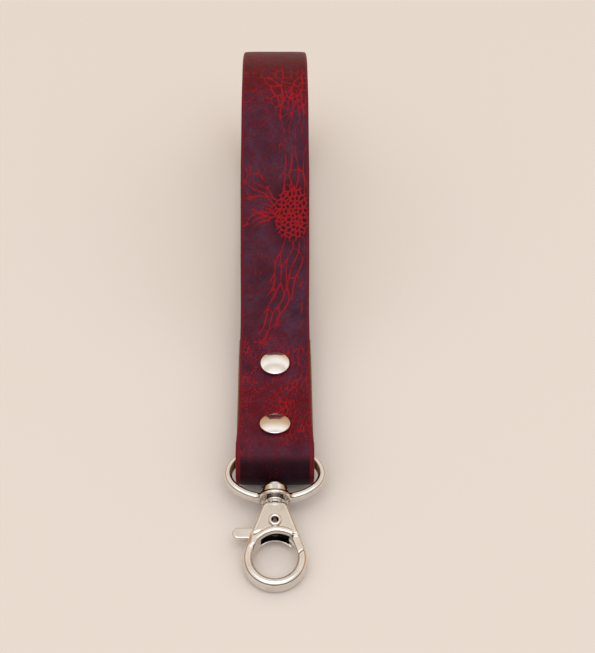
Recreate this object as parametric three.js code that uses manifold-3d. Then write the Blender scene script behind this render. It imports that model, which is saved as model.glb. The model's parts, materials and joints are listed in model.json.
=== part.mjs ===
// Wristlet keychain: a leather strap folded into a standing wrist loop, two double-cap rivets,
// and a swivel lobster clasp hung on the fold. Millimetres, +Z up, Y along the strap.
// While it is built, the middle of the fold's bend is at Y = 0 and the clasp points along -Y.
import * as THREE from 'three';
import { mergeVertices } from 'three/addons/utils/BufferGeometryUtils.js';
import Module from 'manifold-3d';

const wasm = await Module();
wasm.setup();

const degrees = THREE.MathUtils.degToRad;

// Leather strap
const strapWidth = 19;
const leatherThickness = 3;
const layerGap = 0.3;
const bendStep = degrees(7);
const capAboveTable = 0.05;

// How far a cutting shape runs past the face it cuts through
const cutPast = 1;

// Fold round the ring's bar, and the stack of three layers behind it
const rampAngle = degrees(9);
const rampLength = 15;
const rampBendRadius = 18;
const sagAngle = degrees(5);
const sagLength = 1.3;
const sagBendRadius = 8;
const lowerRivetToFold = 6.6;
const rivetSpacing = 23.1;
const clampTilt = degrees(4);
const clampMargin = 0.6;
const clampPast = 4.9;
const clampBendRadius = 25;
const bottomEndPastRivet = 10.9;
const middleEndFromFold = 3.4;
const middleTilt = degrees(4);

// Standing wrist loop
const riseAngle = degrees(44);
const rootBendRadius = 18;
const riseLength = 29.6;
const crownRadius = 47;
const crownDip = degrees(10);
const shoulderAngle = degrees(26);
const shoulderRadius = 58;
const tableRiseRadius = 24;

// Double-cap rivets
const capDiameter = 7.9;
const capHeight = 1.2;
const capRim = 0.35;
const capWall = 0.35;
const seatGap = 0.2;
const rivetFlangeRadius = 3.1;
const rivetFlangeThickness = 0.3;
const postRadius = 1.1;
const socketClearance = 0.35;
const socketWall = 0.35;
const socketDepth = 1.3;
const leatherHoleClearance = 0.4;

// Swivel eye: a D-shaped ring with a collar on its curved side
const ringBarDiameter = 3;
const ringWall = 1.9;
const ringPastStrap = 2.3;
const ringBarInsideStrap = 2.2;
const ringCornerRise = 5;
const ringFrontRise = 7;
const ringRound = 0.7;
const collarLength = 3.3;
const collarRearRadius = 3.2;
const collarMouthRadius = 3.95;
const collarLip = 0.6;
const collarFloor = 1.4;
const collarBehindRing = 3;

// Stud that the clasp turns on
const studRadius = 1.1;
const studHeadRadius = 2.3;
const studHeadHeight = 1.2;
const studHeadEdge = 0.35;
const studDepthInBody = 2.2;
const swivelClearance = 0.3;
const pressClearance = 0.15;

// Clasp body and hook
const neckFlangeRadius = 2.6;
const neckFlangeThickness = 1;
const neckInside = 1.5;
const neckRadius = 2.1;
const neckGroove = 0.4;
const bodyTopHalf = 2.7;
const bodyThickness = 5;
const bodyLength = 8.5;
const hookThickness = 4.4;
const hookOuterRadius = 7.75;
const hookBar = 2.35;
const hookCentreFromBody = 15.5;
const castRound = 0.8;
const housingCorner = 1.2;

// Lever, its spring and its tubular rivet
const pivotFromBodyTop = 5.6;
const pivotTubeRadius = 1.2;
const pivotBoreRadius = 0.8;
const pivotFlangeRadius = 1.65;
const pivotFlangeThickness = 0.35;
const leverThickness = 2;
const leverClearance = 0.3;
const leverHubRadius = 2.6;
const tabReach = 10.5;
const tabWidth = 3.1;
const tabBelowPivot = 2.8;
const gateWidth = 2.1;
const gateThickness = 3;
const gateReach = 10.4;
const gateClearance = 0.3;
const gateSideFrom = 1;
const tabEdgeRound = 0.3;
const springWire = 0.35;
const springRadius = 1.8;
const springTurns = 2.25;
const springPitch = 0.44;
const springLeg = 0.8;
const springPocketRadius = 2.2;
const springPocketDepth = 1.45;
const springLegHole = 0.35;
const springSamples = 27;

// What follows from the sizes above
const layerPitch = leatherThickness + layerGap;
const stackBase = capHeight + seatGap + capAboveTable;
const bottomLayerHeight = stackBase + leatherThickness / 2;
const middleLayerHeight = bottomLayerHeight + layerPitch;
const topLayerHeight = middleLayerHeight + layerPitch;
const foldDrop = sagLength * Math.sin(sagAngle) + sagBendRadius * (1 - Math.cos(sagAngle));
const foldRise = rampLength * Math.sin(rampAngle) + rampBendRadius * (1 - Math.cos(rampAngle));
const foldRadius = (2 * layerPitch + foldDrop + foldRise) / (Math.cos(sagAngle) + Math.cos(rampAngle));
const barHeight = bottomLayerHeight - foldDrop + foldRadius * Math.cos(sagAngle);
const upperRivetToFold = lowerRivetToFold + rivetSpacing;
const clampLength = capDiameter + 2 * clampMargin;
const capRadius = capDiameter / 2;
const socketBore = postRadius + socketClearance;
const socketOuter = socketBore + socketWall;
const leatherHoleRadius = socketOuter + leatherHoleClearance;
const ringHalfWidth = strapWidth / 2 + ringPastStrap;
const ringBarHalf = strapWidth / 2 - ringBarInsideStrap;
const collarRear = -(ringCornerRise + ringFrontRise) + collarBehindRing;
const collarMouth = collarRear - collarLength;
const collarRecess = collarMouthRadius - collarLip;
const neckFace = collarRear - collarFloor - swivelClearance;
const neckFlangeStart = neckFace - neckInside;
const neckFlangeEnd = neckFlangeStart - neckFlangeThickness;
const bodyTop = neckFlangeEnd - neckGroove;
const bodyEnd = bodyTop - bodyLength;
const pivotY = bodyTop - pivotFromBodyTop;
const hookCentre = bodyTop - hookCentreFromBody;
const hookInnerRadius = hookOuterRadius - hookBar;
const slotHeight = leverThickness + 2 * leverClearance;

const leather = new THREE.MeshStandardMaterial({ color: 0x5a232d, roughness: 0.55, metalness: 0 });
const nickel = new THREE.MeshStandardMaterial({ color: 0xc9c2b8, roughness: 0.18, metalness: 1 });
const capNickel = new THREE.MeshStandardMaterial({ color: 0xd6d0c8, roughness: 0.14, metalness: 1 });
const innerSteel = new THREE.MeshStandardMaterial({ color: 0xa8a49e, roughness: 0.35, metalness: 1 });
const springSteel = new THREE.MeshStandardMaterial({ color: 0x8f8f92, roughness: 0.3, metalness: 1 });

function signedVolume(geometry) {
  const place = geometry.getAttribute('position');
  const index = geometry.getIndex();
  const corners = [new THREE.Vector3(), new THREE.Vector3(), new THREE.Vector3()];
  let volume = 0;
  for (let i = 0; i < index.count; i += 3) {
    corners.forEach((corner, k) => corner.fromBufferAttribute(place, index.getX(i + k)));
    volume += corners[0].dot(corners[1].clone().cross(corners[2])) / 6;
  }
  return volume;
}

// Welds a geometry into one closed skin whose faces point out.
function weld(geometry) {
  const bare = geometry.clone();
  bare.deleteAttribute('normal');
  bare.deleteAttribute('uv');
  const welded = mergeVertices(bare, 1e-4);
  const kept = [];
  const index = welded.getIndex();
  for (let i = 0; i < index.count; i += 3) {
    const [a, b, c] = [index.getX(i), index.getX(i + 1), index.getX(i + 2)];
    if (a !== b && b !== c && c !== a) kept.push(a, b, c);
  }
  welded.setIndex(kept);
  if (signedVolume(welded) < 0) {
    welded.setIndex(kept.reverse());
  }
  return welded;
}

function toSolid(geometry) {
  const welded = weld(geometry);
  const vertProperties = Float32Array.from(welded.getAttribute('position').array);
  const triVerts = Uint32Array.from(welded.getIndex().array);
  return new wasm.Manifold(new wasm.Mesh({ numProp: 3, vertProperties, triVerts }));
}

function toGeometry(solid) {
  const result = solid.getMesh();
  const geometry = new THREE.BufferGeometry();
  geometry.setAttribute('position', new THREE.BufferAttribute(result.vertProperties, 3));
  geometry.setIndex(new THREE.BufferAttribute(result.triVerts, 1));
  return geometry;
}

function part(name, geometry, material) {
  const shaded = geometry.toNonIndexed();
  shaded.computeVertexNormals();
  const mesh = new THREE.Mesh(shaded, material);
  mesh.name = name;
  return mesh;
}

// A turned shape about the Y axis, from [radius, y] pairs.
function turned(profile, sides = 24) {
  return new THREE.LatheGeometry(profile.map(([r, y]) => new THREE.Vector2(r, y)), sides);
}

// A disc or rod whose axis is +Z, centred on x, y.
function rod(radius, low, high, x = 0, y = 0, sides = 24) {
  const geometry = new THREE.CylinderGeometry(radius, radius, high - low, sides);
  geometry.rotateX(Math.PI / 2);
  geometry.translate(x, y, (low + high) / 2);
  return geometry;
}

// A box from its lowest to its highest corner.
function block(low, high) {
  const geometry = new THREE.BoxGeometry(high[0] - low[0], high[1] - low[1], high[2] - low[2]);
  geometry.translate((low[0] + high[0]) / 2, (low[1] + high[1]) / 2, (low[2] + high[2]) / 2);
  return geometry;
}

// The points of an outline turning the given way, without those that repeat where two curves meet.
function outlinePoints(path, clockwise) {
  const points = path.getPoints(10);
  const kept = points.filter((point, i) => point.distanceTo(points[(i + 1) % points.length]) > 0.01);
  return THREE.ShapeUtils.isClockWise(kept) === clockwise ? kept : kept.reverse();
}

// A flat outline given a thickness centred on Z = 0, with its edges rounded over.
function slab(outline, thickness, round) {
  const shape = new THREE.Shape(outlinePoints(outline, false));
  shape.holes = outline.holes.map((hole) => new THREE.Path(outlinePoints(hole, true)));
  const geometry = new THREE.ExtrudeGeometry(shape, {
    depth: thickness - 2 * round,
    bevelEnabled: round > 0,
    bevelThickness: round,
    bevelSize: round,
    bevelOffset: -round,
    bevelSegments: 2,
  });
  geometry.translate(0, 0, -(thickness - 2 * round) / 2);
  return geometry;
}

// A straight bar with round ends, from one point to another, as a flat outline.
function barShape(from, to, width) {
  const along = Math.atan2(to[1] - from[1], to[0] - from[0]);
  const shape = new THREE.Shape();
  shape.absarc(to[0], to[1], width / 2, along - Math.PI / 2, along + Math.PI / 2, false);
  shape.absarc(from[0], from[1], width / 2, along + Math.PI / 2, along + Math.PI * 1.5, false);
  shape.closePath();
  return shape;
}

// Points of a spherical dome from its crown at height to its rim, for a turned profile.
function domeArc(radius, height, base, steps = 4) {
  const rise = height - base;
  const sphere = (radius * radius + rise * rise) / (2 * rise);
  const edge = Math.asin(radius / sphere);
  const points = [];
  for (let i = 0; i <= steps; i += 1) {
    const angle = (edge * i) / steps;
    points.push([sphere * Math.sin(angle), height - sphere + sphere * Math.cos(angle)]);
  }
  return points;
}

// The strap's middle line, followed as straight runs and round bends. Each step keeps its heading.
class Route {
  constructor(y, z, heading) {
    this.y = y;
    this.z = z;
    this.heading = heading;
    this.steps = [];
    this.mark();
  }

  mark() {
    this.steps.push({ y: this.y, z: this.z, heading: this.heading });
    return this;
  }

  straight(length) {
    this.y += length * Math.cos(this.heading);
    this.z += length * Math.sin(this.heading);
    return this.mark();
  }

  // A positive angle turns left, a negative one right.
  bend(radius, angle) {
    const side = Math.sign(angle);
    const centreY = this.y - side * radius * Math.sin(this.heading);
    const centreZ = this.z + side * radius * Math.cos(this.heading);
    const start = this.heading;
    const count = Math.max(2, Math.ceil(Math.abs(angle) / bendStep));
    for (let i = 1; i <= count; i += 1) {
      this.heading = start + (angle * i) / count;
      this.y = centreY + side * radius * Math.sin(this.heading);
      this.z = centreZ - side * radius * Math.cos(this.heading);
      this.mark();
    }
    return this;
  }
}

// How far a bend carries the strap along its starting heading.
function bendRun(radius, angle) {
  return radius * Math.sin(angle);
}

function strapRoute() {
  const bottomEnd = upperRivetToFold + bottomEndPastRivet;
  const sagEnd = foldRadius * Math.sin(sagAngle);
  const sagRun = sagLength * Math.cos(sagAngle) + bendRun(sagBendRadius, sagAngle);
  const rampEnd = foldRadius * Math.sin(rampAngle) + rampLength * Math.cos(rampAngle);
  const rampOut = rampEnd + bendRun(rampBendRadius, rampAngle);
  const clampStart = upperRivetToFold - (clampLength / 2) * Math.cos(clampTilt);
  const route = new Route(bottomEnd, bottomLayerHeight, Math.PI);
  route.straight(bottomEnd - sagRun - sagEnd);
  route.bend(sagBendRadius, sagAngle).straight(sagLength);
  route.bend(foldRadius, -(Math.PI + sagAngle + rampAngle));
  route.straight(rampLength).bend(rampBendRadius, rampAngle);
  route.straight(clampStart - bendRun(clampBendRadius, clampTilt) - rampOut);
  route.bend(clampBendRadius, clampTilt).straight(clampLength + clampPast);
  route.bend(rootBendRadius, riseAngle - clampTilt).straight(riseLength);
  route.bend(crownRadius, -riseAngle - crownDip).bend(shoulderRadius, -shoulderAngle);
  const tableHeight = leatherThickness / 2;
  const farAngle = Math.PI - crownDip - shoulderAngle;
  const farRadius = (route.z - tableHeight) / (1 - Math.cos(farAngle));
  route.bend(farRadius, -farAngle);
  const climb = middleLayerHeight - tableHeight;
  const climbAngle = Math.acos(1 - climb / (2 * tableRiseRadius));
  const climbEnd = bottomEnd + leatherThickness / 2;
  route.straight(route.y - climbEnd - 2 * bendRun(tableRiseRadius, climbAngle));
  route.bend(tableRiseRadius, -climbAngle).bend(tableRiseRadius, climbAngle);
  const tiltStart = lowerRivetToFold + capRadius + bendRun(rampBendRadius, middleTilt);
  route.straight(climbEnd - tiltStart).bend(rampBendRadius, -middleTilt);
  route.straight((route.y - middleEndFromFold) / Math.cos(middleTilt));
  return route.steps;
}

// Height of the top layer's middle line over a place on the fold's ramp or on the upper clamp.
function topLayerAt(steps, y) {
  const spans = steps.slice(1).map((step, i) => [steps[i], step]);
  const over = spans.filter(([a, b]) => a.y <= y && b.y > y && Math.cos(b.heading) > 0.5);
  const [a, b] = over[0];
  return a.z + ((b.z - a.z) * (y - a.y)) / (b.y - a.y);
}

function strapGeometry(steps) {
  const side = (step, offset) => new THREE.Vector2(
    step.y - offset * Math.sin(step.heading),
    step.z + offset * Math.cos(step.heading),
  );
  const half = leatherThickness / 2;
  const left = steps.map((step) => side(step, half));
  const right = steps.map((step) => side(step, -half)).reverse();
  const ribbon = new THREE.ExtrudeGeometry(new THREE.Shape([...left, ...right]), {
    depth: strapWidth,
    bevelEnabled: false,
  });
  ribbon.translate(0, 0, -strapWidth / 2);
  const [ahead, up, across] = [[0, 1, 0], [0, 0, 1], [1, 0, 0]].map((axis) => new THREE.Vector3(...axis));
  ribbon.applyMatrix4(new THREE.Matrix4().makeBasis(ahead, up, across));
  const stackTop = topLayerHeight + foldRise + leatherThickness;
  const holes = [lowerRivetToFold, upperRivetToFold].map((y) => rod(leatherHoleRadius, 0, stackTop, 0, y));
  return toGeometry(holes.reduce((solid, hole) => solid.subtract(toSolid(hole)), toSolid(ribbon)));
}

// A hollow domed cap, open underneath, with its rim on Y = 0.
function capGeometry() {
  const inside = domeArc(capRadius - capWall, capHeight - capWall, capRim).reverse();
  return turned([
    ...domeArc(capRadius, capHeight, capRim),
    [capRadius, 0],
    [capRadius - capWall, 0],
    ...inside,
  ]).rotateX(Math.PI / 2);
}

function socketGeometry() {
  return turned([
    [socketBore, -socketDepth],
    [socketOuter, -socketDepth],
    [socketOuter, 0],
    [rivetFlangeRadius, 0],
    [rivetFlangeRadius, rivetFlangeThickness],
    [socketBore, rivetFlangeThickness],
    [socketBore, -socketDepth],
  ]).rotateX(Math.PI / 2);
}

function postGeometry(length) {
  return turned([
    [0, -rivetFlangeThickness],
    [rivetFlangeRadius, -rivetFlangeThickness],
    [rivetFlangeRadius, 0],
    [postRadius, 0],
    [postRadius, length],
    [0, length],
  ]).rotateX(Math.PI / 2);
}

// One double-cap rivet: a post under a cap at the back, a socket under a cap at the front.
function rivet(name, y, frontHeight, frontTilt) {
  const group = new THREE.Group();
  group.position.y = y;
  const front = new THREE.Group();
  front.position.z = frontHeight;
  front.rotation.x = frontTilt;
  const frontCap = part(`${name}_front_cap`, weld(capGeometry()), capNickel);
  frontCap.position.z = seatGap;
  const socket = part(`${name}_socket`, weld(socketGeometry()), innerSteel);
  socket.position.z = seatGap;
  front.add(frontCap, socket);
  const back = new THREE.Group();
  back.position.z = stackBase - seatGap;
  const post = part(`${name}_post`, weld(postGeometry(frontHeight - stackBase + seatGap)), innerSteel);
  const backCap = part(`${name}_back_cap`, weld(capGeometry()), capNickel);
  backCap.rotation.x = Math.PI;
  back.add(post, backCap);
  group.add(front, back);
  return group;
}

function ringOutline(path, offset) {
  const sideY = -ringCornerRise;
  const cornerAcross = ringHalfWidth - ringBarHalf + offset;
  const cornerRise = ringCornerRise + offset;
  path.moveTo(-ringBarHalf, offset);
  path.lineTo(ringBarHalf, offset);
  path.absellipse(ringBarHalf, sideY, cornerAcross, cornerRise, Math.PI / 2, 0, true);
  path.absellipse(0, sideY, ringHalfWidth + offset, ringFrontRise + offset, 0, -Math.PI, true);
  path.absellipse(-ringBarHalf, sideY, cornerAcross, cornerRise, Math.PI, Math.PI / 2, true);
  path.closePath();
  return path;
}

function eyeRing() {
  const shape = ringOutline(new THREE.Shape(), ringWall / 2);
  shape.holes.push(ringOutline(new THREE.Path(), -ringWall / 2));
  const ring = toSolid(slab(shape, ringBarDiameter, ringRound));
  const collar = toSolid(turned([
    [0, collarMouth],
    [collarMouthRadius, collarMouth],
    [collarMouthRadius, collarMouth + collarLip],
    [collarRearRadius, collarRear],
    [0, collarRear],
  ]));
  const bore = toSolid(turned([
    [0, collarMouth - cutPast],
    [collarRecess, collarMouth - cutPast],
    [collarRecess, collarMouth],
    [collarRearRadius - collarLip, collarRear - collarFloor],
    [studRadius + swivelClearance, collarRear - collarFloor],
    [studRadius + swivelClearance, collarRear],
    [studHeadRadius + swivelClearance, collarRear],
    [studHeadRadius + swivelClearance, collarRear + studHeadHeight + cutPast],
    [0, collarRear + studHeadHeight + cutPast],
  ]));
  return part('eye_ring', toGeometry(ring.add(collar).subtract(bore)), nickel);
}

function swivelStud() {
  const headSeat = collarRear + swivelClearance;
  const dome = domeArc(studHeadRadius, headSeat + studHeadHeight, headSeat + studHeadEdge);
  return part('swivel_stud', weld(turned([
    ...dome,
    [studHeadRadius, headSeat],
    [studRadius, headSeat],
    [studRadius, bodyTop - studDepthInBody],
    [0, bodyTop - studDepthInBody],
  ])), nickel);
}

// Half width of the clasp's tapering sides at a given place, the line that meets the hook's circle.
const taperAngle = Math.asin((hookOuterRadius - bodyTopHalf) / hookCentreFromBody);
function halfWidthAt(y) {
  return hookOuterRadius / Math.cos(taperAngle) - (y - hookCentre) * Math.tan(taperAngle);
}

// Half width of the hook's opening where it meets the housing.
const openingTopHalf = halfWidthAt(bodyEnd) - hookBar / Math.cos(taperAngle);

function hookShape() {
  const leftStart = Math.PI - taperAngle;
  const shape = new THREE.Shape();
  shape.moveTo(bodyTopHalf, bodyTop);
  shape.lineTo(-bodyTopHalf, bodyTop);
  shape.absarc(0, hookCentre, hookOuterRadius, leftStart, taperAngle + Math.PI * 2, false);
  shape.lineTo(bodyTopHalf, bodyTop);
  const opening = new THREE.Path();
  opening.moveTo(openingTopHalf, bodyEnd);
  opening.lineTo(-openingTopHalf, bodyEnd);
  opening.absarc(0, hookCentre, hookInnerRadius, leftStart, taperAngle + Math.PI * 2, false);
  opening.closePath();
  shape.holes.push(opening);
  return shape;
}

function housingShape() {
  const shape = new THREE.Shape();
  shape.moveTo(bodyTopHalf, bodyTop);
  shape.lineTo(-bodyTopHalf, bodyTop);
  shape.lineTo(-halfWidthAt(bodyEnd + housingCorner), bodyEnd + housingCorner);
  shape.lineTo(-halfWidthAt(bodyEnd) + housingCorner, bodyEnd);
  shape.lineTo(halfWidthAt(bodyEnd) - housingCorner, bodyEnd);
  shape.lineTo(halfWidthAt(bodyEnd + housingCorner), bodyEnd + housingCorner);
  shape.closePath();
  return shape;
}

function claspBody() {
  const wide = hookOuterRadius + 2;
  const slotHalf = slotHeight / 2;
  const neck = toSolid(turned([
    [0, neckFace],
    [neckRadius, neckFace],
    [neckRadius, neckFlangeStart],
    [neckFlangeRadius, neckFlangeStart],
    [neckFlangeRadius, neckFlangeEnd],
    [neckRadius, neckFlangeEnd],
    [neckRadius, bodyTop - cutPast],
    [0, bodyTop - cutPast],
  ]));
  const studBore = toSolid(turned([
    [0, neckFace + cutPast],
    [studRadius + pressClearance, neckFace + cutPast],
    [studRadius + pressClearance, bodyTop - studDepthInBody - pressClearance],
    [0, bodyTop - studDepthInBody - pressClearance],
  ]));
  const slotTop = pivotY + leverHubRadius + leverClearance;
  const tabSlotEnd = pivotY - tabBelowPivot - tabWidth / 2 - leverClearance;
  const leftSlot = block([-wide, tabSlotEnd, -slotHalf], [0, slotTop, slotHalf]);
  const rightSlot = block([0, bodyEnd - cutPast, -slotHalf], [wide, pivotY, slotHalf]);
  const hubSlot = rod(leverHubRadius + leverClearance, -slotHalf, slotHalf, 0, pivotY);
  const pivotHole = rod(pivotTubeRadius + pressClearance, -bodyThickness, bodyThickness, 0, pivotY);
  const gateSweep = rod(gateReach + gateClearance, -hookThickness, hookThickness, 0, pivotY, 48);
  const gateLow = [gateSideFrom, hookCentre - gateSideFrom, -hookThickness];
  const gateSide = block(gateLow, [wide, bodyEnd, hookThickness]);
  const gateGap = toSolid(gateSweep).intersect(toSolid(gateSide));
  const legHole = rod(springLegHole, -bodyThickness, 0, springRadius, pivotY, 12);
  let solid = toSolid(slab(hookShape(), hookThickness, castRound));
  solid = solid.add(toSolid(slab(housingShape(), bodyThickness, castRound))).add(neck);
  [leftSlot, rightSlot, hubSlot, pivotHole, legHole].forEach((tool) => {
    solid = solid.subtract(toSolid(tool));
  });
  return part('clasp_body', toGeometry(solid.subtract(studBore).subtract(gateGap)), nickel);
}

// Middle line of the gate, half a gate's width inside the clasp's tapering side.
function gateLineAt(y) {
  return [halfWidthAt(y) - gateWidth / 2 / Math.cos(taperAngle), y];
}

function lever() {
  const half = leverThickness / 2;
  const tabY = pivotY - tabBelowPivot;
  const gateTop = gateLineAt(bodyEnd - gateWidth / 2 - leverClearance);
  const gateEnd = gateLineAt(pivotY - gateReach);
  const tab = barShape([0, tabY], [-tabReach + tabWidth / 2, tabY], tabWidth);
  const arm = barShape([0, pivotY], gateTop, gateWidth);
  const gate = toSolid(slab(barShape(gateTop, gateEnd, gateWidth), gateThickness, gateWidth / 4));
  const reach = toSolid(rod(gateReach, -gateThickness, gateThickness, 0, pivotY, 48));
  let solid = toSolid(rod(leverHubRadius, -half, half, 0, pivotY));
  solid = solid.add(toSolid(slab(tab, leverThickness, tabEdgeRound)));
  solid = solid.add(toSolid(slab(arm, leverThickness, 0)));
  const tabSide = toSolid(block([-tabReach - cutPast, hookCentre, -half], [0, 0, half]));
  const hidden = block([-openingTopHalf, hookCentre, -slotHeight], [openingTopHalf, bodyEnd, slotHeight]);
  solid = solid.subtract(toSolid(hidden)).add(gate).intersect(reach.add(tabSide));
  solid = solid.subtract(toSolid(rod(pivotTubeRadius + pressClearance, -slotHeight, slotHeight, 0, pivotY)));
  const pocketTop = -half + springPocketDepth;
  solid = solid.subtract(toSolid(rod(springPocketRadius, -slotHeight, pocketTop, 0, pivotY)));
  solid = solid.subtract(toSolid(rod(springLegHole, 0, slotHeight, 0, pivotY + springRadius, 12)));
  return part('lever', toGeometry(solid), nickel);
}

// The torsion spring's wire: a straight leg into the body, the coil, and a straight leg into the lever.
function leverSpring() {
  const base = -slotHeight / 2 + leverClearance / 2 + springWire / 2;
  const points = [new THREE.Vector3(springRadius, 0, base - springLeg)];
  for (let i = 0; i <= springSamples; i += 1) {
    const turn = (springTurns * i) / springSamples;
    const angle = turn * Math.PI * 2;
    const along = new THREE.Vector3(Math.cos(angle), Math.sin(angle), 0).multiplyScalar(springRadius);
    points.push(along.setZ(base + turn * springPitch));
  }
  const last = points[points.length - 1].clone();
  points.push(last.setZ(last.z + springLeg));
  const wire = new THREE.Shape().absarc(0, 0, springWire / 2, 0, Math.PI * 2, false);
  const geometry = new THREE.ExtrudeGeometry(wire, {
    steps: springSamples * 2,
    curveSegments: 3,
    extrudePath: new THREE.CatmullRomCurve3(points),
  });
  const mesh = part('lever_spring', weld(geometry), springSteel);
  mesh.position.y = pivotY;
  return mesh;
}

// A tube through body and lever, its ends rolled over into flanges.
function pivotRivet() {
  const face = bodyThickness / 2 + pressClearance;
  const top = face + pivotFlangeThickness;
  const mesh = part('pivot_rivet', weld(turned([
    [pivotBoreRadius, -top],
    [pivotFlangeRadius, -top],
    [pivotFlangeRadius, -face],
    [pivotTubeRadius, -face],
    [pivotTubeRadius, face],
    [pivotFlangeRadius, face],
    [pivotFlangeRadius, top],
    [pivotBoreRadius, top],
    [pivotBoreRadius, -top],
  ]).rotateX(Math.PI / 2)), innerSteel);
  mesh.position.y = pivotY;
  return mesh;
}

// The clasp hangs from the fold and its hook rests on the table, so it tips down by this angle.
function restTilt() {
  const reach = -hookCentre + hookOuterRadius - castRound;
  const half = hookThickness / 2;
  return Math.asin(barHeight / Math.hypot(reach, half)) - Math.atan2(half, reach);
}

const steps = strapRoute();
const half = leatherThickness / 2;
const lowerFront = topLayerAt(steps, lowerRivetToFold) + half / Math.cos(rampAngle);
const upperFront = topLayerAt(steps, upperRivetToFold) + half / Math.cos(clampTilt);

const clasp = new THREE.Group();
clasp.position.z = barHeight;
clasp.rotation.x = restTilt();
clasp.add(eyeRing(), swivelStud(), claspBody(), lever(), leverSpring(), pivotRivet());

const wristlet = new THREE.Group();
wristlet.add(part('leather_strap', strapGeometry(steps), leather));
wristlet.add(rivet('lower_rivet', lowerRivetToFold, lowerFront, -rampAngle));
wristlet.add(rivet('upper_rivet', upperRivetToFold, upperFront, clampTilt));
wristlet.add(clasp);

// The origin is the middle of the whole object's base.
wristlet.updateMatrixWorld(true);
const box = new THREE.Box3().setFromObject(wristlet, true);
const middle = box.getCenter(new THREE.Vector3());
wristlet.position.set(-middle.x, -middle.y, -box.min.z);

export default wristlet;
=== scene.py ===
# Wristlet keychain: a folded leather wrist loop with two cap rivets and a swivel lobster clasp.
import json
import math

import bpy
import numpy as np
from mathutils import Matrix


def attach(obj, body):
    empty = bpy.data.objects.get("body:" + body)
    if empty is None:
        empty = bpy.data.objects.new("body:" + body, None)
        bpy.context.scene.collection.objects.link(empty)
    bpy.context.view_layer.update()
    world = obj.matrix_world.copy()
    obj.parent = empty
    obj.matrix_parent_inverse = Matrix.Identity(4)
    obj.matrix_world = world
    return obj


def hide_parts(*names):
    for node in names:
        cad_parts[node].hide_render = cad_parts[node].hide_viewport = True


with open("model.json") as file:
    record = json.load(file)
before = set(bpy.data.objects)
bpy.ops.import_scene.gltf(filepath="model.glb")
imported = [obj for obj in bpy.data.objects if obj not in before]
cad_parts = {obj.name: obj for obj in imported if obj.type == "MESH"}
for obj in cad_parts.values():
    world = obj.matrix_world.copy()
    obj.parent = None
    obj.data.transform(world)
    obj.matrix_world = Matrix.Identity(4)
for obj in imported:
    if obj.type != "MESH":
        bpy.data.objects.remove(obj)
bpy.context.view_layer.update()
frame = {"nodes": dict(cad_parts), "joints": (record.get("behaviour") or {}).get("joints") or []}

print("frame loaded")

mm = 0.001
joints = {joint["name"]: joint for joint in frame["joints"]}
foldPlace = np.array(joints["eye_swing"]["pos_m"])
claspDown = math.atan2(-joints["clasp_swivel"]["axis"][2], -joints["clasp_swivel"]["axis"][1])

# Camera
cameraLook = {"lens": 77.18, "downFromLevel": 44, "behindFold": 0.2334, "height": 0.2797, "shift": 0.0345}
cameraData = bpy.data.cameras.new("camera")
cameraData.lens = cameraLook["lens"]
cameraData.shift_x = cameraLook["shift"]
camera = bpy.data.objects.new("camera", cameraData)
camera.location = (0, foldPlace[1] - cameraLook["behindFold"], cameraLook["height"])
camera.rotation_euler = (math.radians(90 - cameraLook["downFromLevel"]), 0, 0)
bpy.context.scene.collection.objects.link(camera)
bpy.context.scene.camera = camera


# nodes
def setSockets(node, values):
    for name, value in values.items():
        node.inputs[name].default_value = value


def addNode(tree, kind, values=None, **settings):
    node = tree.nodes.new(kind)
    for name, value in settings.items():
        setattr(node, name, value)
    setSockets(node, values or {})
    return node


def ramp(tree, source, stops, smooth=False):
    node = tree.nodes.new("ShaderNodeValToRGB")
    node.color_ramp.interpolation = "EASE" if smooth else "LINEAR"
    elements = node.color_ramp.elements
    while len(elements) < len(stops):
        elements.new(0.5)
    for element, (place, colour) in zip(elements, stops):
        element.position = place
        element.color = (*colour, 1) if len(colour) == 3 else colour
    tree.links.new(source, node.inputs["Fac"])
    return node.outputs["Color"]


def maths(tree, operation, a, b=None, c=None, clamp=False):
    node = addNode(tree, "ShaderNodeMath", operation=operation, use_clamp=clamp)
    for socket, value in zip(node.inputs, (a, b, c)):
        if value is None:
            continue
        if isinstance(value, (int, float)):
            socket.default_value = value
        else:
            tree.links.new(value, socket)
    return node.outputs[0]


def fade(tree, value, low, high, start=0.0, end=1.0):
    # runs smoothly from start to end as the value goes from low to high
    node = addNode(tree, "ShaderNodeMapRange", interpolation_type="SMOOTHSTEP")
    setSockets(node, {"From Min": low, "From Max": high, "To Min": start, "To Max": end})
    tree.links.new(value, node.inputs["Value"])
    return node.outputs["Result"]


def blendColour(tree, amount, first, second, mode="MIX"):
    node = addNode(tree, "ShaderNodeMix", data_type="RGBA", blend_type=mode)
    sockets = [node.inputs[0], node.inputs[6], node.inputs[7]]
    for socket, value in zip(sockets, (amount, first, second)):
        if isinstance(value, (int, float)):
            socket.default_value = value
        elif isinstance(value, tuple):
            socket.default_value = (*value, 1)
        else:
            tree.links.new(value, socket)
    return node.outputs[2]


def noise(tree, place, scale, detail=3.0, roughness=0.55, output="Fac"):
    node = addNode(tree, "ShaderNodeTexNoise", {"Scale": scale, "Detail": detail, "Roughness": roughness})
    tree.links.new(place, node.inputs["Vector"])
    return node.outputs[output]


def cells(tree, place, scale, feature="DISTANCE_TO_EDGE", randomness=1.0):
    node = addNode(tree, "ShaderNodeTexVoronoi", {"Scale": scale, "Randomness": randomness}, feature=feature)
    tree.links.new(place, node.inputs["Vector"])
    return node.outputs["Distance"]


def stretched(tree, place, scale):
    node = addNode(tree, "ShaderNodeVectorMath", operation="MULTIPLY")
    tree.links.new(place, node.inputs[0])
    node.inputs[1].default_value = scale
    return node.outputs[0]


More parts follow.
